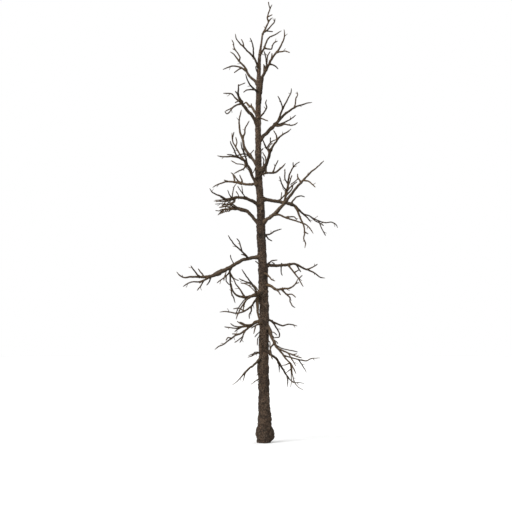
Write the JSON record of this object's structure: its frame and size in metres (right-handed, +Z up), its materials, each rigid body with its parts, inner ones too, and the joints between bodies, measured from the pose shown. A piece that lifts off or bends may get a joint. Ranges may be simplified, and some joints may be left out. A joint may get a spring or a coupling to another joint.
{
  "type": "dead tree",
  "caption": "Bare dead conifer with a slender tapering trunk, uneven crooked boughs and forked dead twigs, on a flat cut at ground level.",
  "frame": {"origin": "middle of the flat cut under the trunk, at ground level", "axes": "+Z up the trunk, +X to the right across the crown, +Y towards the back of the crown"},
  "size_m": [4.5024, 2.7572, 12.134],
  "materials": {
    "trunk_bark": "rough furrowed dead bark, dark grey-brown",
    "bough_bark": "rough weathered dead bark, dark brown",
    "twig_bark": "dry weathered dead twigs, grey-brown"
  },
  "bodies": {
    "root": {"trunk": "trunk_bark", "right_leader_bough": "bough_bark", "high_left_bough": "bough_bark", "crook_left_bough": "bough_bark", "high_right_bough": "bough_bark", "upright_left_bough": "bough_bark", "knot_right_bough": "bough_bark", "level_left_bough": "bough_bark", "fan_left_bough": "bough_bark", "level_right_bough": "bough_bark", "thick_left_bough": "bough_bark", "rising_left_bough": "bough_bark", "rising_right_bough": "bough_bark", "rising_right_upper_bough": "bough_bark", "long_left_bough": "bough_bark", "low_right_bough": "bough_bark", "front_left_bough": "bough_bark", "drooping_right_bough": "bough_bark", "lowest_right_bough": "bough_bark", "lowest_left_bough": "bough_bark", "leader_tip_twigs": "twig_bark", "top_right_twigs": "twig_bark", "top_left_twigs": "twig_bark", "right_leader_twigs": "twig_bark", "high_left_twigs": "twig_bark", "high_left_small_twigs": "twig_bark", "crook_left_twigs": "twig_bark", "short_left_twigs": "twig_bark", "short_right_twigs": "twig_bark", "high_right_twigs": "twig_bark", "upright_left_twigs": "twig_bark", "knot_right_twigs": "twig_bark", "knot_right_low_twigs": "twig_bark", "level_left_twigs": "twig_bark", "fan_left_twigs": "twig_bark", "level_right_inner_twigs": "twig_bark", "level_right_twigs": "twig_bark", "thick_left_twigs": "twig_bark", "rising_left_twigs": "twig_bark", "rising_right_twigs": "twig_bark", "rising_right_upright_twigs": "twig_bark", "rising_right_lower_twigs": "twig_bark", "mid_right_small_twigs": "twig_bark", "long_left_twigs": "twig_bark", "long_left_upper_twigs": "twig_bark", "long_left_hanging_twigs": "twig_bark", "low_right_twigs": "twig_bark", "low_right_falling_twigs": "twig_bark", "low_right_small_twigs": "twig_bark", "front_left_twigs": "twig_bark", "front_left_hanging_twigs": "twig_bark", "front_right_twigs": "twig_bark", "low_left_twigs": "twig_bark", "low_left_small_twigs": "twig_bark", "low_right_back_twigs": "twig_bark", "drooping_right_twigs": "twig_bark", "base_left_small_twigs": "twig_bark", "lowest_right_twigs": "twig_bark", "lowest_left_twigs": "twig_bark", "lowest_left_back_twigs": "twig_bark"}
  },
  "joints": []
}
